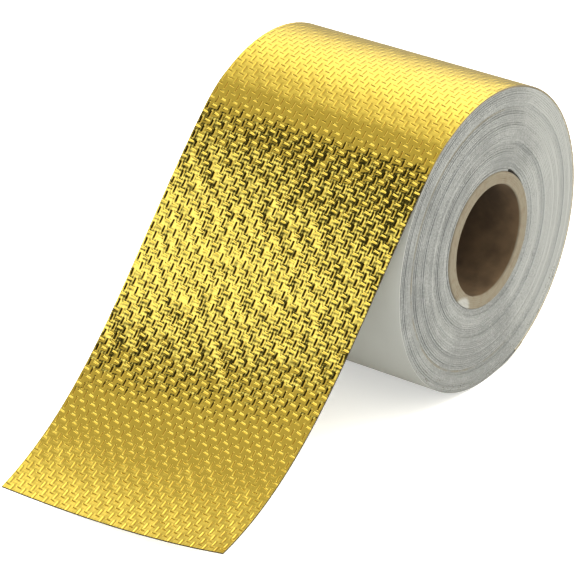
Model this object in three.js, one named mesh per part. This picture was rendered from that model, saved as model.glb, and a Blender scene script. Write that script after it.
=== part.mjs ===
// A roll of gold reflective heat tape on a cardboard core, lying on its side with its free end pulled out.
//
// Millimetres, +Z up. The origin is where the roll touches the floor, at the middle of the tape's width.
// X runs along the roll's axis. The free end comes off over the top towards -Y and lands on the floor.
// Angles round the roll are in degrees from its top, growing towards -Y, so 90 faces the free end and 180 is the floor.
import * as THREE from "three";

// The tape: metallised foil, glass cloth and adhesive in one strip, wound with a paper release liner under it
const tapeWidth = 50;
const foilThickness = 0.3;
const linerThickness = 0.12;

// The cardboard core, cut to the tape's width
const coreBore = 21.6;
const coreWall = 2.4;

// The air that wound layers leave between them, so that no two solids share a face
const layerGap = 0.05;

// The wound turns, from the core outwards, in bands that sit a little towards +X or -X of the roll's middle.
// A roll is slit to one width, so a band that stands out at one end is set back as far at the other.
const turnBands = [
  { turns: 3, shift: -0.3 },
  { turns: 6, shift: 0.05 },
  { turns: 4, shift: -0.15 },
  { turns: 8, shift: 0.3 },
  { turns: 5, shift: 0 },
  { turns: 4, shift: -0.25 },
  { turns: 5, shift: 0.1 },
  { turns: 3, shift: -0.1 },
];

// Where the free end leaves the roll, and how it lands. A handle is how far the tape keeps its direction.
const liftAngle = 43.2;
const leaveHandle = 31.6;
const landReach = 83.8;
const landSlope = 10.8;
const landHandle = 29;

// The tape's springy set: one corner of its cut end stands up, and the end swings sideways
const cornerLift = 4.7;
const cornerLiftAlong = 2.27;
const cornerLiftAcross = 2.44;
const sideSwing = 2;
const sideSwingAlong = 4;

// The peeled liner stays on the roll. It starts tucked under the foil, and its cut end lies over the foil's last turn.
const tuckAngle = 5;
const climbAngle = 8;

// How finely round and curved stretches are cut into flats
const facetAngle = 5;
const freeSteps = 26;
const crossSteps = 6;

const turnPitch = foilThickness + linerThickness;
const coreRadius = coreBore / 2 + coreWall;
const turnsBore = coreRadius + layerGap;
const woundTurns = turnBands.reduce((sum, band) => sum + band.turns, 0);
const woundRadius = turnsBore + woundTurns * turnPitch;
const layerRadius = woundRadius + layerGap;
const restRadius = layerRadius + linerThickness;
const axisHeight = restRadius * Math.cos(THREE.MathUtils.degToRad(facetAngle / 2));

// The point at a radius and an angle round the roll, as (Y, Z).
function roundRoll(radius, angle) {
  const a = THREE.MathUtils.degToRad(angle);
  return new THREE.Vector2(-radius * Math.sin(a), axisHeight + radius * Math.cos(a));
}

// A radius that climbs by one layer over a short stretch, and is up a whole flat before the angle where that layer is.
function climb(angle, layerAngle, layer) {
  const top = layerAngle - facetAngle;
  const share = THREE.MathUtils.clamp((angle - top + climbAngle) / climbAngle, 0, 1);
  return layerRadius + share * (layer + layerGap);
}

// The angles that cut an arc into flats, one of which lies level on the floor.
function arcAngles(from, to) {
  const angles = [from];
  const first = Math.floor(from / facetAngle + 0.5) + 0.5;
  for (let step = first; step * facetAngle < to - facetAngle / 4; step++) {
    if (step * facetAngle > from + facetAngle / 4) angles.push(step * facetAngle);
  }
  angles.push(to);
  return angles;
}

// A closed sheet from rows of points: each row has its lower points and its upper points, across the tape.
function sheetGeometry(rows) {
  const across = rows[0].lower.length;
  const positions = rows.flatMap((row) => [...row.lower, ...row.upper]).flatMap((p) => [p.x, p.y, p.z]);
  const lower = (i, j) => i * 2 * across + j;
  const upper = (i, j) => lower(i, j) + across;
  const index = [];
  const quad = (a, b, c, d) => index.push(a, b, c, a, c, d);
  const last = rows.length - 1;
  for (let i = 0; i < last; i++) {
    for (let j = 0; j < across - 1; j++) {
      quad(upper(i, j), upper(i + 1, j), upper(i + 1, j + 1), upper(i, j + 1));
      quad(lower(i, j), lower(i, j + 1), lower(i + 1, j + 1), lower(i + 1, j));
    }
    quad(lower(i, 0), lower(i + 1, 0), upper(i + 1, 0), upper(i, 0));
    quad(lower(i, across - 1), upper(i, across - 1), upper(i + 1, across - 1), lower(i + 1, across - 1));
  }
  for (let j = 0; j < across - 1; j++) {
    quad(lower(0, j), upper(0, j), upper(0, j + 1), lower(0, j + 1));
    quad(lower(last, j), lower(last, j + 1), upper(last, j + 1), upper(last, j));
  }
  const geometry = new THREE.BufferGeometry();
  geometry.setAttribute("position", new THREE.Float32BufferAttribute(positions, 3));
  geometry.setIndex(index);
  geometry.computeVertexNormals();
  return geometry;
}

// One row of a sheet that lies on the roll at an angle.
function arcRow(angle, radius, thickness, steps) {
  const inner = roundRoll(radius, angle);
  const outer = roundRoll(radius + thickness, angle);
  const places = Array.from({ length: steps + 1 }, (_, j) => (j / steps - 0.5) * tapeWidth);
  return {
    lower: places.map((x) => new THREE.Vector3(x, inner.x, inner.y)),
    upper: places.map((x) => new THREE.Vector3(x, outer.x, outer.y)),
  };
}

// The underside of the free end at the edge that lands on the floor, from the roll to the cut, as (Y, Z).
function freeEndLine() {
  const leave = roundRoll(layerRadius + linerThickness + layerGap, liftAngle);
  const land = new THREE.Vector2(-landReach, 0);
  const down = THREE.MathUtils.degToRad(liftAngle);
  const slope = THREE.MathUtils.degToRad(landSlope);
  return new THREE.CubicBezierCurve(
    leave,
    new THREE.Vector2(leave.x - leaveHandle * Math.cos(down), leave.y - leaveHandle * Math.sin(down)),
    new THREE.Vector2(land.x + landHandle * Math.cos(slope), land.y + landHandle * Math.sin(slope)),
    land,
  );
}

// One row of the free end, at a share of the way along its line.
function freeRow(line, along) {
  const base = line.getPoint(along);
  const tangent = line.getTangent(along);
  const normal = new THREE.Vector2(tangent.y, -tangent.x);
  const swing = sideSwing * along ** sideSwingAlong;
  const row = { lower: [], upper: [] };
  for (let j = 0; j <= crossSteps; j++) {
    const share = j / crossSteps;
    const rise = cornerLift * along ** cornerLiftAlong * share ** cornerLiftAcross;
    const x = (share - 0.5) * tapeWidth + swing;
    const under = base.clone().addScaledVector(normal, rise);
    const over = under.clone().addScaledVector(normal, foilThickness);
    row.lower.push(new THREE.Vector3(x, under.x, under.y));
    row.upper.push(new THREE.Vector3(x, over.x, over.y));
  }
  return row;
}

const freeLine = freeEndLine();
const linerStart = liftAngle - tuckAngle;
const linerEnd = liftAngle + THREE.MathUtils.radToDeg(freeLine.getLength() / layerRadius);
const foilStart = linerEnd - tuckAngle;

// The gold strip: its last turn on the roll, from under the liner's cut end up the back and over the top, then the
// free end down to the floor.
function foilTape() {
  const liftTurned = 360 + liftAngle;
  const onRoll = arcAngles(foilStart, liftTurned).map((angle) =>
    arcRow(angle, climb(angle, 360 + linerStart, linerThickness), foilThickness, crossSteps),
  );
  const free = Array.from({ length: freeSteps }, (_, i) => freeRow(freeLine, (i + 1) / freeSteps));
  return sheetGeometry([...onRoll, ...free]);
}

// The paper that the free end was peeled from, still on the roll.
function releaseLiner() {
  return sheetGeometry(
    arcAngles(linerStart, linerEnd).map((angle) =>
      arcRow(angle, climb(angle, foilStart, foilThickness), linerThickness, 1),
    ),
  );
}

// A solid turned round the roll's axis from a closed outline of (place along X, radius) points.
function turned(outline) {
  const points = [...outline, outline[0]].map(([x, radius]) => new THREE.Vector2(radius, x));
  const facet = THREE.MathUtils.degToRad(facetAngle);
  const geometry = new THREE.LatheGeometry(points, 360 / facetAngle, facet / 2);
  geometry.rotateZ(-Math.PI / 2);
  geometry.translate(0, 0, axisHeight);
  return geometry;
}

// The wound turns as one solid: its ends step in and out where a band of turns is shifted.
function woundTape() {
  const edges = [];
  let radius = turnsBore;
  for (const { turns, shift } of turnBands) {
    const outer = radius + turns * turnPitch;
    edges.push([shift, radius], [shift, outer]);
    radius = outer;
  }
  const far = edges.map(([shift, r]) => [shift - tapeWidth / 2, r]);
  const near = edges.map(([shift, r]) => [shift + tapeWidth / 2, r]).reverse();
  return turned([...far, ...near]);
}

// The cardboard tube that the tape is wound on.
function cardboardCore() {
  return turned([
    [-tapeWidth / 2, coreBore / 2],
    [-tapeWidth / 2, coreRadius],
    [tapeWidth / 2, coreRadius],
    [tapeWidth / 2, coreBore / 2],
  ]);
}

function piece(name, geometry, color, roughness, metalness) {
  const mesh = new THREE.Mesh(geometry, new THREE.MeshStandardMaterial({ color, roughness, metalness }));
  mesh.name = name;
  return mesh;
}

const heatTapeRoll = new THREE.Group();
heatTapeRoll.add(
  piece("cardboard_core", cardboardCore(), 0xa89a80, 0.9, 0),
  piece("wound_turns", woundTape(), 0xb4b8b2, 0.8, 0),
  piece("release_liner", releaseLiner(), 0xa5a7a2, 0.55, 0),
  piece("gold_foil_tape", foilTape(), 0xd9b83c, 0.25, 1),
);

export default heatTapeRoll;
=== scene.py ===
"""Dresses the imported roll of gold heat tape: embossed foil, wound edges, peeled liner and cardboard core.

Everything is in metres and in the CAD frame: X runs along the roll's axis, the free end comes off over the top
towards -Y, and the floor is at Z = 0. Angles round the roll are in degrees from its top and grow towards -Y.
"""

from __future__ import annotations

import logging
import math
from collections.abc import Callable
from dataclasses import dataclass
from enum import Enum
from typing import Any

import bpy
import numpy as np
from mathutils import Euler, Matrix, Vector


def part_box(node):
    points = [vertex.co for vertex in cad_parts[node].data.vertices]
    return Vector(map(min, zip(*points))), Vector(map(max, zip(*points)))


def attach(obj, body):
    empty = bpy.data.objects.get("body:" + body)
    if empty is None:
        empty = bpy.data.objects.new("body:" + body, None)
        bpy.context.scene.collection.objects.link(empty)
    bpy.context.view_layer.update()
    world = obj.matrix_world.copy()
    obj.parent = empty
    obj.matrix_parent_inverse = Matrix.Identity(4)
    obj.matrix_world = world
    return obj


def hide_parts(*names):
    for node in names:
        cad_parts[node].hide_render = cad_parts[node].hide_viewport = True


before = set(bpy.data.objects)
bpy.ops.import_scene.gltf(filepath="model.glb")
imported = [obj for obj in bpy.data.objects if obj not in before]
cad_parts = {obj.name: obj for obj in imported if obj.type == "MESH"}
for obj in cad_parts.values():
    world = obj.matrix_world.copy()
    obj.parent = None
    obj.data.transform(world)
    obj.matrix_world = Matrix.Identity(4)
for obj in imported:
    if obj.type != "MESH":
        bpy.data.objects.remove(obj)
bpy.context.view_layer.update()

BODY = "root"
YARN_MAP = "yarns"
MM = 0.001

log = logging.getLogger("heat_tape")


class Slot(Enum):
    """The material slots' names."""

    CORE = "core_card"
    EDGES = "tape_edges"
    LINER = "liner_paper"
    FOIL = "gold_foil"


class Value:
    """A node socket's number, which Python's operators turn into Math nodes."""

    def __init__(self, tree: NodeTree, socket: bpy.types.NodeSocket) -> None:
        """Wraps a socket of a tree.

        Args:
            tree: The tree that new Math nodes go into.
            socket: The output that gives the number.
        """
        self.tree = tree
        self.socket = socket

    def math(self, operation: str, *operands: Operand) -> Value:
        """Adds one Math node.

        Args:
            operation: The Math node's operation.
            operands: Its inputs in order, sockets or plain numbers.

        Returns:
            The node's result.
        """
        return self.tree.value("ShaderNodeMath", {"operation": operation}, dict(enumerate(operands)))

    def __add__(self, other: Operand) -> Value:
        """Adds."""
        return self.math("ADD", self, other)

    def __radd__(self, other: Operand) -> Value:
        """Adds, with the number first."""
        return self.math("ADD", other, self)

    def __sub__(self, other: Operand) -> Value:
        """Subtracts."""
        return self.math("SUBTRACT", self, other)

    def __rsub__(self, other: Operand) -> Value:
        """Subtracts from the number that comes first."""
        return self.math("SUBTRACT", other, self)

    def __mul__(self, other: Operand) -> Value:
        """Multiplies."""
        return self.math("MULTIPLY", self, other)

    def __rmul__(self, other: Operand) -> Value:
        """Multiplies, with the number first."""
        return self.math("MULTIPLY", other, self)

    def __truediv__(self, other: Operand) -> Value:
        """Divides."""
        return self.math("DIVIDE", self, other)

    def __pow__(self, other: Operand) -> Value:
        """Raises to a power."""
        return self.math("POWER", self, other)

    def __neg__(self) -> Value:
        """Turns the sign round."""
        return self.math("MULTIPLY", self, -1.0)

    def __abs__(self) -> Value:
        """Drops the sign."""
        return self.math("ABSOLUTE", self)

    def __gt__(self, other: Operand) -> Value:
        """Gives 1 where this is the greater, and 0 elsewhere."""
        return self.math("GREATER_THAN", self, other)

    def cos(self) -> Value:
        """Gives the cosine of an angle in radians."""
        return self.math("COSINE", self)

    def sin(self) -> Value:
        """Gives the sine of an angle in radians."""
        return self.math("SINE", self)

    def floor(self) -> Value:
        """Rounds down."""
        return self.math("FLOOR", self)

    def top(self, other: Operand) -> Value:
        """Gives the greater of two."""
        return self.math("MAXIMUM", self, other)

    def ramp(self, low: Operand, high: Operand) -> Value:
        """Gives a smooth step.

        Args:
            low: Where the result is 0.
            high: Where the result is 1. It may be below low.

        Returns:
            The step, from 0 to 1.
        """
        sockets = {"Value": self, "From Min": low, "From Max": high}
        return self.tree.value("ShaderNodeMapRange", {"interpolation_type": "SMOOTHSTEP"}, sockets)


Operand = Value | float


class NodeTree:
    """A shader or geometry node tree that is filled node by node."""

    def __init__(self, tree: bpy.types.NodeTree) -> None:
        """Wraps a Blender tree."""
        self.tree = tree

    def node(
        self, kind: str, settings: dict[str, Any] | None = None, sockets: dict[str | int, Any] | None = None
    ) -> bpy.types.Node:
        """Adds a node.

        Args:
            kind: The node's type.
            settings: The node's own properties, which are set first.
            sockets: A number, a vector, a socket or a Value for each input, by name or place.

        Returns:
            The node.
        """
        made = self.tree.nodes.new(kind)
        for name, setting in (settings or {}).items():
            setattr(made, name, setting)
        for name, given in (sockets or {}).items():
            entry = made.inputs[name]
            if isinstance(given, Value):
                given = given.socket
            if isinstance(given, bpy.types.NodeSocket):
                self.tree.links.new(given, entry)
            else:
                entry.default_value = given
        return made

    def value(
        self,
        kind: str,
        settings: dict[str, Any] | None = None,
        sockets: dict[str | int, Any] | None = None,
        output: str | int = 0,
    ) -> Value:
        """Adds a node and wraps one of its outputs.

        Args:
            kind: The node's type.
            settings: The node's own properties.
            sockets: What its inputs get.
            output: The output's name or place.

        Returns:
            The output as a Value.
        """
        return Value(self, self.node(kind, settings, sockets).outputs[output])

    def mix(self, factor: Operand, low: Any, high: Any) -> bpy.types.NodeSocket:
        """Mixes two colours.

        Args:
            factor: The share of the second colour.
            low: The first colour, or its socket.
            high: The second colour, or its socket.

        Returns:
            The mixed colour's socket.
        """
        colour_inputs = {0: factor, 6: low, 7: high}
        return self.node("ShaderNodeMix", {"data_type": "RGBA"}, colour_inputs).outputs[2]

    def noise(self, vector: Any, scale: float, detail: float = 2.0) -> Value:
        """Adds a Noise Texture.

        Args:
            vector: The coordinates' socket.
            scale: Its waves for each unit of the coordinates.
            detail: Its octaves.

        Returns:
            The noise, about 0.5.
        """
        return self.value("ShaderNodeTexNoise", {}, {"Vector": vector, "Scale": scale, "Detail": detail})

    def parts(self, vector: Any) -> list[Value]:
        """Splits a vector's socket into its three numbers."""
        split = self.node("ShaderNodeSeparateXYZ", {}, {0: vector})
        return [Value(self, output) for output in split.outputs]

    def joined(self, x: Operand, y: Operand, z: Operand) -> bpy.types.NodeSocket:
        """Joins three numbers into a vector's socket."""
        return self.node("ShaderNodeCombineXYZ", {}, {0: x, 1: y, 2: z}).outputs[0]

    def yarns(self) -> tuple[bpy.types.NodeSocket, Value, Value]:
        """Gives the strip's UV map, and the places across and along it, counted in pairs of yarns."""
        uv = self.node("ShaderNodeUVMap", {"uv_map": YARN_MAP}).outputs[0]
        across, along, _ = self.parts(uv)
        return uv, across, along


Colour = tuple[float, float, float, float]


def shade(red: float, green: float, blue: float) -> Colour:
    """Turns an sRGB colour, from 0 to 255, into a linear one.

    Args:
        red: Its red.
        green: Its green.
        blue: Its blue.

    Returns:
        The linear colour with an alpha of 1.
    """
    linear = [((c / 255 + 0.055) / 1.055) ** 2.4 for c in (red, green, blue)]
    return (linear[0], linear[1], linear[2], 1.0)


@dataclass(frozen=True)
class Maths:
    """The functions that arrays and node values each have a form of."""

    cos: Callable[[Any], Any]
    floor: Callable[[Any], Any]
    top: Callable[[Any, Any], Any]


ARRAYS = Maths(np.cos, np.floor, np.maximum)
NODES = Maths(Value.cos, Value.floor, Value.top)


@dataclass(frozen=True)
class Groove:
    """A groove's two walls, as places across it counted in pairs of yarns from the middle of the crossing."""

    near: float
    bottom: float
    far: float

    def depth(self, place: Any, maths: Maths) -> Any:
        """Gives the depth at a place across the groove, from 0 at its rims to 1 at its bottom."""
        fall = (self.bottom - place) * (1 / (self.bottom - self.near))
        rise = (place - self.bottom) * (1 / (self.far - self.bottom))
        return maths.top(1.0 - maths.top(fall, rise), 0.0)


WARP_GROOVE = Groove(-0.21, 0.06, 0.14)
WEFT_GROOVE = Groove(-0.13, 0.04, 0.10)


def weave_height(
    across: Any, along: Any, maths: Maths, weft_depth: float = 1.1, crown: float = 0.2, early: float = 0.18,
    slant: float = 0.16, warp_length: float = 3.2, weft_length: float = 2.2
) -> Any:
    """Gives the height of foil pressed over basket-woven cloth, 1 on the flats and less in the grooves.

    The cloth is woven with its yarns in pairs. Where a pair of warp yarns lies on top, the groove between the two
    runs along the cloth, and where a pair of weft yarns does, it runs across and a little aslant. The same lines
    serve arrays and nodes, so that the mesh and its finish have one weave.

    Args:
        across: The place across the cloth, counted in pairs of warp yarns.
        along: The place along it, counted in pairs of weft yarns.
        maths: The functions for this kind of number.
        weft_depth: How deep the grooves across the cloth are, as a share of those along it.
        crown: How far the foil sinks beside each yarn's crown.
        early: How far before the crossing's middle the grooves across the cloth lie.
        slant: How far they go aslant.
        warp_length: How abruptly the grooves along the cloth end.
        weft_length: How abruptly the ones across it end.

    Returns:
        The height.
    """
    beside = across - maths.floor(across + 0.5)
    later = along + early - beside * slant
    ahead = later - maths.floor(later + 0.5)
    warp_side = maths.cos(across * math.pi)
    crossing = warp_side * maths.cos(along * math.pi)
    warp_over = 1.0 - maths.top(1.0 - maths.top(crossing, 0.0) * warp_length, 0.0)
    weft_side = warp_side * maths.cos(later * math.pi) * -1.0
    weft_over = 1.0 - maths.top(1.0 - maths.top(weft_side, 0.0) * weft_length, 0.0)
    lengthwise = WARP_GROOVE.depth(beside, maths) * warp_over
    crosswise = WEFT_GROOVE.depth(ahead, maths) * weft_over * weft_depth
    warp_dip, weft_dip = (maths.cos(place * (2 * math.pi)) ** 2 for place in (across, along))
    dip = (crossing * 0.5 + 0.5) * warp_dip + (0.5 - crossing * 0.5) * weft_dip
    return 1.0 - lengthwise - crosswise - dip * crown


@dataclass(frozen=True)
class GoldFoil:
    """The gold foil face: bright metal that takes the relief of the cloth under it, with painted shade that darkens its
    colour down in the grooves.

    On the roll the turns press the weave flatter than it is past the roll.
    """

    bright: Colour = shade(253, 229, 108)
    # Painted shade: the colour that the foil takes down in the weave's grooves.
    deep: Colour = shade(218, 184, 70)
    relief: float = 0.070 * MM
    pressed: float = 0.55
    uneven_gain: float = 2.8
    uneven_base: float = -0.35
    folds: float = 0.12
    wander: float = 0.09
    roughness: float = 0.10

    def material(self, leaving: float) -> bpy.types.Material:
        """Makes the foil's material, which reads the yarn counts in the strip's UV map.

        Args:
            leaving: Where the strip leaves the roll, counted in pairs of weft yarns.
        """
        tree, surface = new_material("gold_foil_face")
        uv, across, along = tree.yarns()
        lean = tree.noise(uv, 0.31) - 0.5
        sway = tree.noise(uv, 0.47) - 0.5
        height = weave_height(across + lean * self.wander * 2, along + sway * self.wander * 3, NODES)
        uneven = tree.noise(uv, 0.45, 1.0)
        crease = tree.noise(uv, 0.8, 1.0) * self.folds
        press = along.ramp(leaving - 4, leaving + 3) * (1 - self.pressed) + self.pressed
        relief = height * (uneven * self.uneven_gain + self.uneven_base) * press + crease
        surface.inputs["Metallic"].default_value = 1.0
        # Painted shade: the base colour darkens from bright to deep down in the weave's grooves.
        link(tree, tree.mix(height.ramp(0.1, 0.8), self.deep, self.bright), surface, "Base Color")
        link(tree, tree.noise(uv, 1.7) * 0.08 + (self.roughness - 0.04), surface, "Roughness")
        emboss(tree, surface, relief, self.relief)
        return surface_material(surface)


@dataclass(frozen=True)
class AdhesiveBack:
    """The underside of the strip: glass cloth under clear yellowish adhesive."""

    cloth: Colour = shade(206, 202, 186)
    gap: Colour = shade(168, 158, 128)
    relief: float = 0.04 * MM
    roughness: float = 0.42

    def material(self) -> bpy.types.Material:
        """Makes the underside's material from the same yarn counts."""
        tree, surface = new_material("adhesive_back")
        uv, across, along = tree.yarns()
        height = weave_height(across, along, NODES)
        link(tree, tree.mix(height.ramp(0.1, 0.9), self.gap, self.cloth), surface, "Base Color")
        link(tree, tree.noise(uv, 0.8) * 0.2 + (self.roughness - 0.1), surface, "Roughness")
        emboss(tree, surface, height, self.relief)
        return surface_material(surface)


@dataclass(frozen=True)
class CutEdge:
    """The strip's cut edges: yarn ends under a line of foil."""

    yarn: Colour = shade(158, 156, 146)
    shadow: Colour = shade(112, 102, 80)
    # Painted shade: the darker colours that the same cut edge takes past the roll.
    shaded_free_yarn: Colour = shade(132, 112, 48)
    free_shadow: Colour = shade(48, 38, 12)
    roughness: float = 0.7

    def material(self, leaving: float) -> bpy.types.Material:
        """Makes the cut edge's material, with painted shade between the yarn ends, and painted shade that makes it
        darker past the roll.

        Args:
            leaving: Where the strip leaves the roll, counted in pairs of weft yarns.
        """
        tree, surface = new_material("cut_edge")
        _, across, along = tree.yarns()
        ends = abs((across * math.pi).cos()) * abs((along * math.pi).cos())
        ends = ends.ramp(0.1, 0.8)
        # Painted shade: past the roll the cut edge is coloured darker.
        free = along.ramp(leaving - 2, leaving + 2)
        wound, loose_shaded = tree.mix(ends, self.shadow, self.yarn), tree.mix(ends, self.free_shadow, self.shaded_free_yarn)
        link(tree, tree.mix(free, wound, loose_shaded), surface, "Base Color")
        surface.inputs["Roughness"].default_value = self.roughness
        return surface_material(surface)


@dataclass(frozen=True)
class LinerPaper:
    """The release liner's grey silicone-coated face."""

    grey: Colour = shade(158, 161, 159)
    cloudy: Colour = shade(150, 153, 151)
    shaded: Colour = shade(137, 140, 138)
    roughness: float = 0.5

    def material(self) -> bpy.types.Material:
        """Makes the liner's material, softly cloudy on Object coordinates, with painted shade towards its bottom."""
        tree, surface = new_material("liner_paper_face")
        place = tree.node("ShaderNodeTexCoord").outputs["Object"]
        cloud = tree.noise(place, 60.0, 3.0)
        fibre = tree.noise(place, 2600.0, 2.0)
        _, _, z = tree.parts(place)
        paper = tree.mix(cloud.ramp(0.3, 0.7), self.cloudy, self.grey)
        # Painted shade: the liner darkens towards the floor.
        link(tree, tree.mix(z.ramp(0.03, 0.004), paper, self.shaded), surface, "Base Color")
        link(tree, cloud * 0.16 + (self.roughness - 0.08), surface, "Roughness")
        emboss(tree, surface, fibre, 0.02 * MM, 0.25)
        return surface_material(surface)


@dataclass(frozen=True)
class WoundEdge:
    """The slit edges of the wound strips: pale glass yarn ends, with a tone of its own for each turn."""

    name: str
    pale: Colour
    dull: Colour
    tinge: Colour = shade(104, 98, 78)
    nicked: Colour = shade(64, 60, 52)
    stained_turns: tuple[float, float] = (28.0, 29.0)
    nicked_from: float = 33.0
    roughness: float = 0.8

    def material(self) -> bpy.types.Material:
        """Makes the edge material from each strip's turn number and Object coordinates, with painted light that makes
        the end faces lighter towards +Y.
        """
        tree, surface = new_material(self.name)
        turn = tree.value("ShaderNodeAttribute", {"attribute_name": "turn"}, output="Fac")
        place = tree.node("ShaderNodeTexCoord").outputs["Object"]
        ring = tree.noise(tree.joined(turn, 0.0, 0.0), 1.3, 2.0)
        patch = tree.noise(place, 220.0, 3.0)
        grain = tree.noise(place, 2600.0, 3.0)
        tone = (ring * 0.45 + patch * 0.35 + grain * 0.6) / 1.4
        _, y, z = tree.parts(place)
        # Painted light: the end faces are coloured lighter towards +Y.
        tone = tone + y.ramp(0.004, 0.03) * 0.3 - 0.03
        pale = tree.mix(tone.ramp(0.38, 0.62), self.dull, self.pale)
        first, last = self.stained_turns
        stain = (turn > first) * (1.0 - (turn > last)) * y.ramp(0.012, -0.004) * patch.ramp(0.3, 0.5)
        nick = (turn > self.nicked_from) * grain.ramp(0.54, 0.62) * patch.ramp(0.40, 0.55) * z.ramp(0.02, 0.009)
        marked = tree.mix(stain * 0.6, pale, self.tinge)
        link(tree, tree.mix(nick * 0.8, marked, self.nicked), surface, "Base Color")
        surface.inputs["Roughness"].default_value = self.roughness
        emboss(tree, surface, grain, 0.04 * MM, 0.6)
        return surface_material(surface)


@dataclass(frozen=True)
class CoreBoard:
    """The core's cardboard: brown paper plies, seen edge on at its ends, the brown darkened as painted shade for the
    bore.
    """

    # The cardboard's own brown and its darker blotches, both kept darker as painted shade for the bore.
    brown: Colour = shade(92, 74, 53)
    dark: Colour = shade(62, 48, 32)
    end_grey: Colour = shade(114, 108, 93)
    white: Colour = shade(144, 145, 141)
    pale_patch: tuple[float, float] = (9.0 * MM, 10.9 * MM)
    pale_patch_rim: tuple[float, float] = (3.7 * MM, 2.7 * MM)
    ply: float = 0.4 * MM
    roughness: float = 0.9

    def material(self, axis_height: float, end: float) -> bpy.types.Material:
        """Makes the cardboard's material.

        Args:
            axis_height: The height of the core's axis.
            end: How far from the middle the core's ends lie.

        Returns:
            The material, with its ply lines on the ends and its fibres all over.
        """
        tree, surface = new_material("core_cardboard")
        place = tree.node("ShaderNodeTexCoord").outputs["Object"]
        x, y, z = tree.parts(place)
        radius = (y * y + (z - axis_height) * (z - axis_height)) ** 0.5
        fibre = tree.noise(place, 900.0, 4.0)
        blotch = tree.noise(place, 140.0, 3.0)
        # The bore shows this body colour, darkened as painted shade.
        body = tree.mix(blotch.ramp(0.3, 0.7), self.dark, self.brown)
        ply = (radius * (2 * math.pi / self.ply) + blotch * 5).cos() * 0.5 + 0.5
        on_end = abs(x).ramp(end - 0.5 * MM, end - 0.1 * MM)
        ends = tree.mix(ply * 0.16 + fibre.ramp(0.4, 0.75) * 0.3, self.end_grey, self.brown)
        # A whitish patch on the core's near end, low on its -Y side.
        aside, below = y + self.pale_patch[0], z - (axis_height - self.pale_patch[1])
        pale_patch = ((aside * aside + below * below) ** 0.5 + blotch * 1.2 * MM).ramp(*self.pale_patch_rim)
        ends = tree.mix(pale_patch * (x > 0.0), ends, self.white)
        link(tree, tree.mix(on_end, body, ends), surface, "Base Color")
        surface.inputs["Roughness"].default_value = self.roughness
        emboss(tree, surface, fibre + ply * on_end * 0.4, 0.05 * MM, 0.7)
        return surface_material(surface)


def new_material(name: str) -> tuple[NodeTree, bpy.types.Node]:
    """Makes an empty material.

    Args:
        name: Its name.

    Returns:
        Its tree, and the Principled node that gives its surface.
    """
    material = bpy.data.materials.new(name)
    material.use_nodes = True
    material.node_tree.nodes.clear()
    tree = NodeTree(material.node_tree)
    surface = tree.node("ShaderNodeBsdfPrincipled")
    tree.node("ShaderNodeOutputMaterial", {}, {"Surface": surface.outputs[0]})
    return tree, surface


def surface_material(surface: bpy.types.Node) -> bpy.types.Material:
    """Gives the material that a surface node belongs to."""
    return next(m for m in bpy.data.materials if m.node_tree == surface.id_data)


def link(tree: NodeTree, given: Any, node: bpy.types.Node, entry: str) -> None:
    """Links a socket or a Value to a node's input.

    Args:
        tree: The tree they are in.
        given: The socket or Value.
        node: The node that takes it.
        entry: The input's name.
    """
    socket = given.socket if isinstance(given, Value) else given
    tree.tree.links.new(socket, node.inputs[entry])


def emboss(tree: NodeTree, surface: bpy.types.Node, height: Value, distance: float, strength: float = 1.0) -> None:
    """Gives a surface fine relief.

    Args:
        tree: The material's tree.
        surface: Its Principled node.
        height: The relief's height, from 0 to about 1.
        distance: How high 1 is.
        strength: How strongly the relief shows.
    """
    bump = tree.node("ShaderNodeBump", {}, {"Strength": strength, "Distance": distance, "Height": height})
    link(tree, bump.outputs[0], surface, "Normal")


def grid_faces(rows: int, columns: int, start: int = 0) -> np.ndarray:
    """Gives the quads of a grid of vertices stored row by row.

    Args:
        rows: How many rows of vertices.
        columns: How many in each row.
        start: The first vertex's number.

    Returns:
        The quads, wound so that they face along the row direction crossed with the column direction.
    """
    corner = start + np.arange(rows - 1)[:, None] * columns + np.arange(columns - 1)[None, :]
    quads = np.stack([corner, corner + columns, corner + columns + 1, corner + 1], axis=-1)
    return quads.reshape(-1, 4)


def new_mesh(name: str, points: np.ndarray, faces: list[list[int]], smooth_angle: float = 40.0) -> bpy.types.Mesh:
    """Makes a smooth mesh with sharp edges where it bends hard.

    Args:
        name: Its name.
        points: Its vertices.
        faces: Its faces as lists of vertex numbers.
        smooth_angle: The bend, in degrees, past which an edge is sharp.

    Returns:
        The mesh.
    """
    mesh = bpy.data.meshes.new(name)
    mesh.from_pydata(points.tolist(), [], faces)
    mesh.update()
    mesh.polygons.foreach_set("use_smooth", np.ones(len(mesh.polygons), bool))
    mesh.set_sharp_from_angle(angle=math.radians(smooth_angle))
    return mesh


def place_piece(name: str, mesh: bpy.types.Mesh, materials: list[bpy.types.Material], slot: Slot, *nodes: str) -> Any:
    """Puts a finished mesh into the scene in place of CAD nodes.

    Args:
        name: The piece's name.
        mesh: Its mesh, in the CAD frame.
        materials: Its materials in slot order.
        slot: The slot that the piece's finish belongs to; it is not used.
        nodes: The CAD nodes that it stands for.

    Returns:
        The object.
    """
    piece = bpy.data.objects.new(name, mesh)
    bpy.context.scene.collection.objects.link(piece)
    for material in materials:
        if material.name not in mesh.materials:
            mesh.materials.append(material)
    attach(piece, BODY)
    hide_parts(*nodes)
    triangles = sum(len(face.vertices) - 2 for face in mesh.polygons)
    log.info("%s: %d triangles", name, triangles)
    return piece


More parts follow.
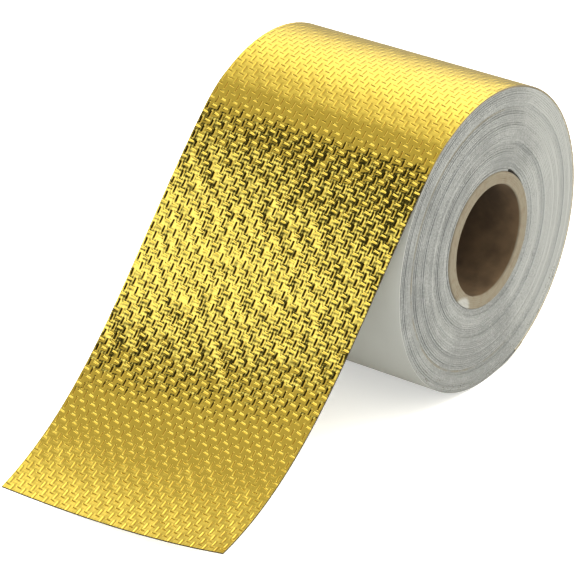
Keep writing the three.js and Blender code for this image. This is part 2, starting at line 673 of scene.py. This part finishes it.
@dataclass(frozen=True)
class Roll:
    """The sizes that the roll's pieces share."""

    width: float = 50 * MM
    foil: float = 0.3 * MM
    liner: float = 0.12 * MM
    core_radius: float = 13.2 * MM
    core_wall: float = 2.4 * MM
    gap: float = 0.05 * MM
    bands: tuple[tuple[int, float], ...] = (
        (3, -0.3 * MM),
        (6, 0.05 * MM),
        (4, -0.15 * MM),
        (8, 0.3 * MM),
        (5, 0.0),
        (4, -0.25 * MM),
        (5, 0.1 * MM),
        (3, -0.1 * MM),
    )
    lift: float = 43.2
    tuck: float = 5.0
    climb_angle: float = 8.0
    climb_early: float = 5.0

    @property
    def pitch(self) -> float:
        """One turn's thickness, liner and tape."""
        return self.foil + self.liner

    @property
    def turns(self) -> int:
        """How many turns the wound part has."""
        return sum(turns for turns, _ in self.bands)

    @property
    def turns_bore(self) -> float:
        """The radius where the wound turns begin."""
        return self.core_radius + self.gap

    @property
    def layer_radius(self) -> float:
        """The radius under the outermost liner and foil."""
        return self.turns_bore + self.turns * self.pitch + self.gap

    @property
    def axis_height(self) -> float:
        """The height of the roll's axis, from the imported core."""
        low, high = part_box("cardboard_core")
        return (low[2] + high[2]) / 2

    def on_roll(self, radius: np.ndarray, angle: np.ndarray) -> np.ndarray:
        """Gives points round the roll.

        Args:
            radius: Their radii.
            angle: Their angles in degrees from the top.

        Returns:
            Their (Y, Z), one row each.
        """
        turn = np.radians(angle)
        return np.stack([-radius * np.sin(turn), self.axis_height + radius * np.cos(turn)], axis=-1)

    def climb(self, angle: np.ndarray, layer_angle: float, layer: float) -> np.ndarray:
        """Gives the radius of a layer that climbs over another one's edge.

        Args:
            angle: Where the layer is, in degrees.
            layer_angle: Where the other layer begins.
            layer: The other layer's thickness.

        Returns:
            The radius of its underside.
        """
        begun = layer_angle - self.climb_early - self.climb_angle
        share = np.clip((angle - begun) / self.climb_angle, 0, 1)
        return self.layer_radius + (3 * share**2 - 2 * share**3) * (layer + self.gap)


@dataclass
class FoilStrip:
    """The gold strip: its last turn on the roll and the free end, embossed by the cloth inside it.

    Its columns and rows are the places of the mesh's vertices within one pair of yarns, so that they lie along the
    rims and bottoms of the grooves.
    """

    roll: Roll
    pairs_across: int = 39
    weft_pitch: float = 1.56 * MM
    columns: tuple[float, ...] = (WARP_GROOVE.near, WARP_GROOVE.bottom, WARP_GROOVE.far, 0.5)
    rows: tuple[float, ...] = (0.05, 0.17, 0.83, 0.95)
    relief: float = 0.03 * MM
    leave_handle: float = 31.6 * MM
    land_reach: float = 83.8 * MM
    land_slope: float = 10.8
    land_handle: float = 29 * MM
    corner_lift: float = 4.7 * MM
    lift_along: float = 2.27
    lift_across: float = 2.44
    side_swing: float = 2 * MM
    swing_along: float = 4.0
    under_columns: int = 8

    def free_line(self, count: int = 400) -> np.ndarray:
        """Gives the free end's underside at the edge that meets the floor, as (Y, Z) from the roll to the cut."""
        roll = self.roll
        start = roll.on_roll(np.array([roll.layer_radius + roll.liner + roll.gap]), np.array([roll.lift]))[0]
        down, slope = math.radians(roll.lift), math.radians(self.land_slope)
        end = np.array([-self.land_reach, 0.0])
        leave = start - self.leave_handle * np.array([math.cos(down), math.sin(down)])
        land = end + self.land_handle * np.array([math.cos(slope), math.sin(slope)])
        t = np.linspace(0, 1, count)[:, None]
        return (1 - t) ** 3 * start + 3 * (1 - t) ** 2 * t * leave + 3 * (1 - t) * t**2 * land + t**3 * end

    @property
    def free_length(self) -> float:
        """The free end's length."""
        return float(np.linalg.norm(np.diff(self.free_line(), axis=0), axis=1).sum())

    @property
    def liner_end(self) -> float:
        """The angle of the liner's cut end: the free end's own length round the roll from where it lifts."""
        return self.roll.lift + math.degrees(self.free_length / self.roll.layer_radius)

    def centre_line(self) -> tuple[np.ndarray, np.ndarray, np.ndarray, np.ndarray]:
        """Gives the whole underside line, with a point wherever the weave bends.

        Returns:
            Its (Y, Z) points, the outward normals, each point's share of the way along the free end, and its place
            counted in pairs of weft yarns.
        """
        roll = self.roll
        angles = np.arange(self.liner_end - roll.tuck, 360 + roll.lift, 0.5)
        turn = roll.on_roll(roll.climb(angles, 360 + roll.lift - roll.tuck, roll.liner), angles)
        free = self.free_line()
        points = np.concatenate([turn, free])
        share = np.concatenate([np.zeros(len(turn)), np.linspace(0, 1, len(free))])
        length = np.concatenate([[0], np.cumsum(np.linalg.norm(np.diff(points, axis=0), axis=1))])
        periods = round(length[-1] / self.weft_pitch)
        weft = np.concatenate([[0], (np.arange(periods)[:, None] + self.rows).ravel(), [periods]]) - 0.5
        even = (weft + 0.5) * (length[-1] / periods)
        line = np.stack([np.interp(even, length, points[:, k]) for k in range(2)], axis=-1)
        tangent = np.gradient(line, even, axis=0)
        tangent /= np.linalg.norm(tangent, axis=1)[:, None]
        return line, np.stack([tangent[:, 1], -tangent[:, 0]], axis=-1), np.interp(even, length, share), weft

    def surface(self, across: np.ndarray, thickness: float, relief: float) -> tuple[np.ndarray, np.ndarray]:
        """Gives one face of the strip.

        Args:
            across: The places of the vertices across, as shares of the width.
            thickness: How far the face lies from the underside.
            relief: The height of the embossed weave on it.

        Returns:
            Its points, by row and column, and their places counted in pairs of yarns.
        """
        line, normal, share, counts = self.centre_line()
        rise = self.corner_lift * share[:, None] ** self.lift_along * across[None, :] ** self.lift_across
        warp = np.broadcast_to(across * self.pairs_across - 0.5, rise.shape)
        weft = np.broadcast_to(counts[:, None], rise.shape)
        height = weave_height(warp, weft, ARRAYS, weft_depth=0.0)
        lift = rise + thickness + relief * (height - 1)
        x = (across[None, :] - 0.5) * self.roll.width + self.side_swing * share[:, None] ** self.swing_along
        points = np.stack(
            [x, line[:, :1] + normal[:, :1] * lift, line[:, 1:] + normal[:, 1:] * lift],
            axis=-1,
        )
        return points, np.stack([warp, weft], axis=-1)

    def build(self) -> None:
        """Makes the strip as one closed sheet: embossed face, plain underside, and cut edges."""
        places = (np.arange(self.pairs_across)[:, None] + self.columns).ravel()
        face_places = np.concatenate([[0], (places + 0.5) / self.pairs_across])
        face, face_yarns = self.surface(face_places, self.roll.foil, self.relief)
        under, under_yarns = self.surface(np.linspace(0, 1, self.under_columns + 1), 0.0, 0.0)
        rows, columns = face.shape[:2]
        points = np.concatenate([face.reshape(-1, 3), under.reshape(-1, 3)])
        counts = np.concatenate([face_yarns.reshape(-1, 2), under_yarns.reshape(-1, 2)])
        below = rows * columns
        narrow = self.under_columns + 1
        top_faces = grid_faces(rows, columns)
        under_faces = grid_faces(rows, narrow, below)[:, ::-1]
        k = np.arange(rows - 1)
        left = np.stack(
            [k * columns, below + k * narrow, below + (k + 1) * narrow, (k + 1) * columns], axis=-1
        )
        right = np.stack(
            [
                k * columns + columns - 1,
                (k + 1) * columns + columns - 1,
                below + (k + 1) * narrow + narrow - 1,
                below + k * narrow + narrow - 1,
            ],
            axis=-1,
        )
        first = list(range(columns)) + [below + j for j in reversed(range(narrow))]
        last_row = (rows - 1) * columns
        last_under = below + (rows - 1) * narrow
        last = [last_row + j for j in reversed(range(columns))] + [last_under + j for j in range(narrow)]
        quads = np.concatenate([top_faces, under_faces, left, right]).tolist()
        mesh = new_mesh("gold_foil_strip", points, [*quads, first, last])
        indices = [0] * len(top_faces) + [1] * len(under_faces) + [2] * (len(left) + len(right) + 2)
        uv = mesh.uv_layers.new(name=YARN_MAP)
        corners = np.zeros(len(mesh.loops), int)
        mesh.loops.foreach_get("vertex_index", corners)
        uv.uv.foreach_set("vector", counts[corners].astype(np.float32).ravel())
        on_roll = 360 + self.roll.lift - (self.liner_end - self.roll.tuck)
        leaving = math.radians(on_roll) * self.roll.layer_radius / self.weft_pitch
        materials = [GoldFoil().material(leaving), AdhesiveBack().material(), CutEdge().material(leaving)]
        strip = place_piece("gold_foil_strip", mesh, materials, Slot.FOIL, "gold_foil_tape")
        mesh.polygons.foreach_set("material_index", indices)


@dataclass
class PeeledLiner:
    """The liner that the free end was peeled from, still lying on the roll."""

    roll: Roll
    end: float
    foil_start: float
    step: float = 1.5
    columns: int = 33
    ripple: float = 0.02 * MM

    def build(self) -> None:
        """Makes the liner as one closed sheet with slight ripples."""
        roll = self.roll
        rows = round((self.end - roll.lift + roll.tuck) / self.step) + 1
        angles = np.linspace(roll.lift - roll.tuck, self.end, rows)
        radius = roll.climb(angles, self.foil_start, roll.foil)
        across = np.linspace(-0.5, 0.5, self.columns)
        wave = np.sin(angles[:, None] * 0.19 + across[None, :] * 9) * np.sin(angles[:, None] * 0.07 + 1)
        sheets = []
        for lift in (roll.liner, 0.0):
            away = radius[:, None] + lift - self.ripple * (1 + wave) * 0.5
            place = roll.on_roll(away, np.broadcast_to(angles[:, None], away.shape))
            x = np.broadcast_to(across * roll.width, away.shape)
            sheets.append(np.concatenate([x[..., None], place], axis=-1).reshape(-1, 3))
        count = rows * self.columns
        outer, inner = grid_faces(rows, self.columns), grid_faces(rows, self.columns, count)[:, ::-1]
        rim = np.concatenate(
            [
                np.arange(self.columns),
                np.arange(1, rows) * self.columns + self.columns - 1,
                (rows - 1) * self.columns + np.arange(self.columns - 2, -1, -1),
                np.arange(rows - 2, 0, -1) * self.columns,
            ]
        )
        ahead = np.roll(rim, -1)
        walls = np.stack([rim, ahead, ahead + count, rim + count], axis=-1)
        faces = np.concatenate([outer, inner, walls]).tolist()
        mesh = new_mesh("peeled_liner", np.concatenate(sheets), faces)
        place_piece("peeled_liner", mesh, [LinerPaper().material()], Slot.LINER, "release_liner")


@dataclass
class WoundStrip:
    """One of the two strips that are wound on the core, made by Geometry Nodes.

    Each turn keeps its radius and climbs to the next one just before it ends. The first turns bulge off the core
    there, each by less than the one under it. Bands of turns have slid sideways, each over a stretch of turns.
    """

    roll: Roll
    name: str
    thickness: float
    inside: float
    finish: WoundEdge
    width: float
    steps: int = 96
    start: float = 333.0
    climb: float = 0.035
    bulge: float = 0.45 * MM
    bulge_turns: float = 1.6
    slide: float = 1.1
    ragged: float = 0.03 * MM
    seed: float = 3.0

    def tree(self, material: bpy.types.Material) -> bpy.types.NodeTree:
        """Makes the node tree that winds the strip.

        Args:
            material: What the strip is finished with.

        Returns:
            The tree, with its sizes as named inputs.
        """
        group = bpy.data.node_groups.new(self.name, "GeometryNodeTree")
        face = group.interface
        face.new_socket("Geometry", in_out="OUTPUT", socket_type="NodeSocketGeometry")
        for label in ("Inner Radius", "Pitch", "Thickness", "Width", "Seed"):
            face.new_socket(label, in_out="INPUT", socket_type="NodeSocketFloat")
        tree = NodeTree(group)
        given = tree.node("NodeGroupInput").outputs
        sizes = {label: Value(tree, given[label]) for label in given.keys() if label}
        index = tree.value("GeometryNodeInputIndex")
        turn = index / float(self.steps)
        ring = -(-turn.floor()).top(1.0 - self.roll.turns)
        outer = ring > self.roll.turns - 2.5
        late = (turn - ring).ramp(outer * (self.climb - 1 / self.steps) + (1 - self.climb), 1.0)
        late = late * (1.0 - (ring > self.roll.turns - 1.5))
        near = (turn - ring).ramp(1 - 4 * self.climb, 1 - 0.3 * self.climb)
        fading = ring.math("EXPONENT", ring * (-1 / self.bulge_turns))
        lift = near * (1.0 - late * 0.6) * self.bulge * fading
        radius = sizes["Inner Radius"] + (ring + late) * sizes["Pitch"] + sizes["Thickness"] * 0.5 + lift
        angle = turn * (2 * math.pi) + math.radians(self.start - 180)
        shift = self.band_shift(turn)
        ragged = tree.value(
            "ShaderNodeTexNoise", {"noise_dimensions": "1D"}, {"W": turn * 1.7 + sizes["Seed"], "Scale": 5.0}
        )
        place = tree.joined(angle.cos() * radius, angle.sin() * radius, shift + (ragged - 0.5) * self.ragged * 4)
        count = self.roll.turns * self.steps + 1
        line = tree.node("GeometryNodeCurvePrimitiveLine")
        dense = tree.node("GeometryNodeResampleCurve", {}, {"Curve": line.outputs[0], "Count": count})
        wound = tree.node("GeometryNodeSetPosition", {}, {"Geometry": dense.outputs[0], "Position": place})
        named = tree.node(
            "GeometryNodeStoreNamedAttribute",
            {"data_type": "FLOAT", "domain": "POINT"},
            {"Geometry": wound.outputs[0], "Name": "turn", "Value": turn},
        )
        upright = tree.node("GeometryNodeSetCurveNormal", {"mode": "Z_UP"}, {"Curve": named.outputs[0]})
        section = tree.node(
            "GeometryNodeCurvePrimitiveQuadrilateral", {}, {"Width": sizes["Thickness"], "Height": sizes["Width"]}
        )
        swept = tree.node(
            "GeometryNodeCurveToMesh",
            {},
            {"Curve": upright.outputs[0], "Profile Curve": section.outputs[0], "Fill Caps": True},
        )
        turned = tree.node(
            "GeometryNodeTransform",
            {},
            {
                "Geometry": swept.outputs[0],
                "Translation": (0, 0, self.roll.axis_height),
                "Rotation": Euler((0, math.pi / 2, 0)),
            },
        )
        real = tree.node("GeometryNodeRealizeInstances", {}, {"Geometry": turned.outputs[0]})
        dressed = tree.node(
            "GeometryNodeSetMaterial", {}, {"Geometry": real.outputs[0], "Material": material}
        )
        tree.node("NodeGroupOutput", {}, {"Geometry": dressed.outputs[0]})
        return group

    def band_shift(self, turn: Value) -> Value:
        """Adds up each band's step sideways.

        Args:
            turn: The turn's number.

        Returns:
            How far along the axis the turn has slid.
        """
        begun, before = 0, 0.0
        shift: Operand = 0.0
        for turns, place in self.roll.bands:
            shift = turn.ramp(begun - self.slide, begun + self.slide) * (place - before) + shift
            begun, before = begun + turns, place
        return shift

    def build(self) -> None:
        """Winds the strip and keeps the result as a plain mesh."""
        material = self.finish.material()
        group = self.tree(material)
        carrier = bpy.data.objects.new(self.name + "_winding", bpy.data.meshes.new(self.name + "_winding"))
        bpy.context.scene.collection.objects.link(carrier)
        modifier = carrier.modifiers.new("winding", "NODES")
        modifier.node_group = group
        given = {
            "Inner Radius": self.roll.turns_bore + self.inside,
            "Pitch": self.roll.pitch,
            "Thickness": self.thickness,
            "Width": self.width,
            "Seed": self.seed,
        }
        for entry in group.interface.items_tree:
            if entry.in_out == "INPUT":
                modifier[entry.identifier] = given[entry.name]
        seen = carrier.evaluated_get(bpy.context.evaluated_depsgraph_get())
        mesh = bpy.data.meshes.new_from_object(seen)
        mesh.name = self.name
        bpy.data.objects.remove(carrier)
        mesh.polygons.foreach_set("use_smooth", np.ones(len(mesh.polygons), bool))
        mesh.set_sharp_from_angle(angle=math.radians(40))
        place_piece(self.name, mesh, [material], Slot.EDGES, "wound_turns")


@dataclass
class CardboardCore:
    """The spirally wound cardboard tube, with a seam that runs round its bore."""

    roll: Roll
    around: int = 144
    seam_turns: float = 1.15
    seam_step: float = 0.14 * MM
    rim_round: float = 0.25 * MM
    fray: float = 0.06 * MM

    def build(self) -> None:
        """Makes the tube as one closed mesh, turned round the roll's axis."""
        roll = self.roll
        outer, inner, end = roll.core_radius, roll.core_radius - roll.core_wall, roll.width / 2
        bevel = np.linspace(0, math.pi / 2, 4)
        rim_out = [(end - self.rim_round * (1 - math.sin(b)), outer - self.rim_round * (1 - math.cos(b))) for b in bevel]
        rim_in = [
            (end - self.rim_round * (1 - math.cos(b)), inner + self.rim_round * (1 - math.sin(b))) for b in bevel
        ]
        plies = np.linspace(outer - self.rim_round, inner + self.rim_round, 10)[1:-1]
        near = [*rim_out, *((end, r) for r in plies), *rim_in]
        bore = [(x, inner) for x in np.linspace(end - self.rim_round, -end + self.rim_round, 60)[1:-1]]
        far = [(-x, r) for x, r in reversed(near)]
        outline = np.array([*near, *bore, *far])
        turn = np.linspace(0, 360, self.around, endpoint=False)
        x = np.broadcast_to(outline[:, :1], (len(outline), self.around)).copy()
        radius = np.broadcast_to(outline[:, 1:], x.shape).copy()
        in_bore = (np.abs(radius - inner) < 0.5 * self.rim_round) & (np.abs(x) < end - self.rim_round / 2)
        phase = (x / roll.width * self.seam_turns + turn[None, :] / 360) % 1
        radius -= in_bore * self.seam_step * np.clip(1 - phase * 6, 0, 1) * (phase > 0.004)
        rough = np.random.default_rng(5).normal(0, 1, x.shape)
        rough = (rough + np.roll(rough, 1, axis=1) + np.roll(rough, -1, axis=1)) / 3
        on_end = np.abs(x) > end - 1e-6
        x += np.sign(x) * on_end * rough * self.fray
        place = roll.on_roll(radius, np.broadcast_to(turn[None, :], x.shape))
        points = np.concatenate([x[..., None], place], axis=-1).reshape(-1, 3)
        i, j = np.meshgrid(np.arange(len(outline)), np.arange(self.around), indexing="ij")
        ahead, beside = (i + 1) % len(outline), (j + 1) % self.around
        corners = [i * self.around + j, i * self.around + beside, ahead * self.around + beside, ahead * self.around + j]
        faces = np.stack(corners, axis=-1).reshape(-1, 4)
        mesh = new_mesh("cardboard_tube", points, faces.tolist())
        finish = CoreBoard().material(roll.axis_height, end)
        place_piece("cardboard_tube", mesh, [finish], Slot.CORE, "cardboard_core")


@dataclass(frozen=True)
class Viewpoint:
    """The photograph's camera, found from the roll's outlines."""

    azimuth: float = 35.996
    elevation: float = 27.375
    distance: float = 0.65562
    across: float = -16.882 * MM
    above: float = -15.489 * MM
    focal_widths: float = 3482.29 / 576
    sensor: float = 36.0

    def place(self, axis_height: float) -> None:
        """Adds the camera.

        Args:
            axis_height: The height of the roll's axis, which the camera is placed from.
        """
        data = bpy.data.cameras.new("photo_view")
        data.sensor_width = self.sensor
        data.lens = self.focal_widths * self.sensor
        camera = bpy.data.objects.new("photo_view", data)
        turn = Euler((math.radians(90 - self.elevation), 0, math.radians(self.azimuth)))
        camera.rotation_euler = turn
        offset = turn.to_matrix() @ Vector((self.across, self.above, self.distance))
        camera.location = offset + Vector((0, 0, axis_height))
        bpy.context.scene.collection.objects.link(camera)
        bpy.context.scene.camera = camera


@dataclass(frozen=True)
class Panel:
    """A soft-edged bright panel of the studio, as the directions from the roll that it fills.

    Each edge is an axis and two cosines to it: the panel has faded out at the first and is full at the second.
    """

    strength: float
    warmth: float
    edges: tuple[tuple[tuple[float, float, float], float, float], ...]


@dataclass(frozen=True)
class Lamp:
    """A soft square lamp that faces the roll, with its place, side and watts."""

    name: str
    place: tuple[float, float, float]
    size: float
    power: float


@dataclass(frozen=True)
class Studio:
    """A plain pale floor under soft light."""

    floor_size: float = 6.0
    floor_tone: Colour = (0.93, 0.93, 0.925, 1.0)
    floor_glow: float = 0.38
    ambient: float = 0.025
    backdrop: float = 1.0
    panels: tuple[Panel, ...] = (
        Panel(3.10, 0.32, (((0.184, 0.707, 0.683), 0.420, 1.290),)),
        Panel(0.45, 1.0, (((0, 1, 0), -0.395, -0.330),)),
        Panel(1.46, 0.0, (((-0.697, -0.623, 0.355), 0.893, 0.979),)),
        Panel(0.80, 0.0, (((-1, 0, 0), 0.800, 0.900),)),
        Panel(0.50, 0.3, (((1, 0, 0), 0.150, 0.600),)),
        Panel(0.22, 0.0, (((-0.620, -0.442, 0.648), 0.994, 0.997),)),
    )
    lamps: tuple[Lamp, ...] = (
        Lamp("overhead", (0.0, 0.0, 1.8), 2.6, 46.0),
        Lamp("right_fill", (1.6, -0.5, 0.9), 1.4, 7.0),
        Lamp("front_fill", (0.2, -1.7, 0.8), 1.4, 16.0),
    )

    def world(self) -> None:
        """Makes the surrounding light: a dim room with soft patches, and a pale backdrop for the camera."""
        world = bpy.data.worlds.new("studio")
        bpy.context.scene.world = world
        world.use_nodes = True
        world.node_tree.nodes.clear()
        tree = NodeTree(world.node_tree)
        view = tree.node("ShaderNodeTexCoord").outputs["Generated"]
        light: Operand = self.ambient
        warm: Operand = 0.0
        for panel in self.panels:
            share: Operand = panel.strength
            for axis, faded, full in panel.edges:
                sockets = {0: view, 1: Vector(axis).normalized()}
                facing = tree.value("ShaderNodeVectorMath", {"operation": "DOT_PRODUCT"}, sockets, "Value")
                share = facing.ramp(faded, full) * share
            light = share + light
            warm = share * panel.warmth + warm
        colour = tree.joined(light, light - warm * 0.13, light - warm * 0.42)
        seen = tree.node("ShaderNodeLightPath").outputs["Is Camera Ray"]
        lit = tree.node("ShaderNodeBackground", {}, {"Color": colour, "Strength": 1.0})
        pale = tree.node("ShaderNodeBackground", {}, {"Color": (1, 1, 1, 1), "Strength": self.backdrop})
        mixed = tree.node("ShaderNodeMixShader", {}, {0: seen, 1: lit.outputs[0], 2: pale.outputs[0]})
        tree.node("ShaderNodeOutputWorld", {}, {"Surface": mixed.outputs[0]})

    def floor(self) -> None:
        """Lays the floor, which the foil doesn't mirror. It glows faintly, painted light that washes out the roll's
        shadow on it.
        """
        half = self.floor_size / 2
        corners = np.array([(-half, -half, 0), (half, -half, 0), (half, half, 0), (-half, half, 0)])
        mesh = new_mesh("floor", corners, [[0, 1, 2, 3]])
        tree, surface = new_material("floor")
        surface.inputs["Base Color"].default_value = self.floor_tone
        surface.inputs["Roughness"].default_value = 0.9
        # Painted light: the floor glows, washing out the roll's shadow and lighting the roll from below.
        surface.inputs["Emission Color"].default_value = self.floor_tone
        surface.inputs["Emission Strength"].default_value = self.floor_glow
        mesh.materials.append(surface_material(surface))
        floor = bpy.data.objects.new("floor", mesh)
        floor.visible_glossy = False
        bpy.context.scene.collection.objects.link(floor)

    def hang(self, lamp: Lamp) -> None:
        """Hangs a lamp that lights dull surfaces and leaves the reflections to the panels."""
        data = bpy.data.lights.new(lamp.name, "AREA")
        data.shape = "SQUARE"
        data.size = lamp.size
        data.energy = lamp.power
        hung = bpy.data.objects.new(lamp.name, data)
        hung.location = lamp.place
        hung.rotation_euler = (-Vector(lamp.place)).to_track_quat("-Z", "Y").to_euler()
        hung.visible_glossy = False
        bpy.context.scene.collection.objects.link(hung)

    def build(self) -> None:
        """Sets up the whole studio."""
        self.world()
        self.floor()
        for lamp in self.lamps:
            self.hang(lamp)
        bpy.context.scene.view_settings.view_transform = "Standard"


def main() -> None:
    """Builds the view, the studio and each piece of the roll."""
    logging.basicConfig(level=logging.INFO, format="%(message)s")
    roll = Roll()
    Viewpoint().place(roll.axis_height)
    Studio().build()
    CardboardCore(roll).build()
    cloth_edge = WoundEdge("wound_cloth_edge", shade(141, 144, 143), shade(112, 115, 115))
    paper_edge = WoundEdge("wound_paper_edge", shade(149, 152, 151), shade(120, 123, 122))
    WoundStrip(roll, "wound_liner", roll.liner * 0.9, 0.0, paper_edge, roll.width - 0.1 * MM).build()
    WoundStrip(roll, "wound_tape", roll.foil * 0.96, roll.liner, cloth_edge, roll.width).build()
    strip = FoilStrip(roll)
    PeeledLiner(roll, strip.liner_end, strip.liner_end - roll.tuck).build()
    strip.build()


if __name__ == "__main__":
    main()
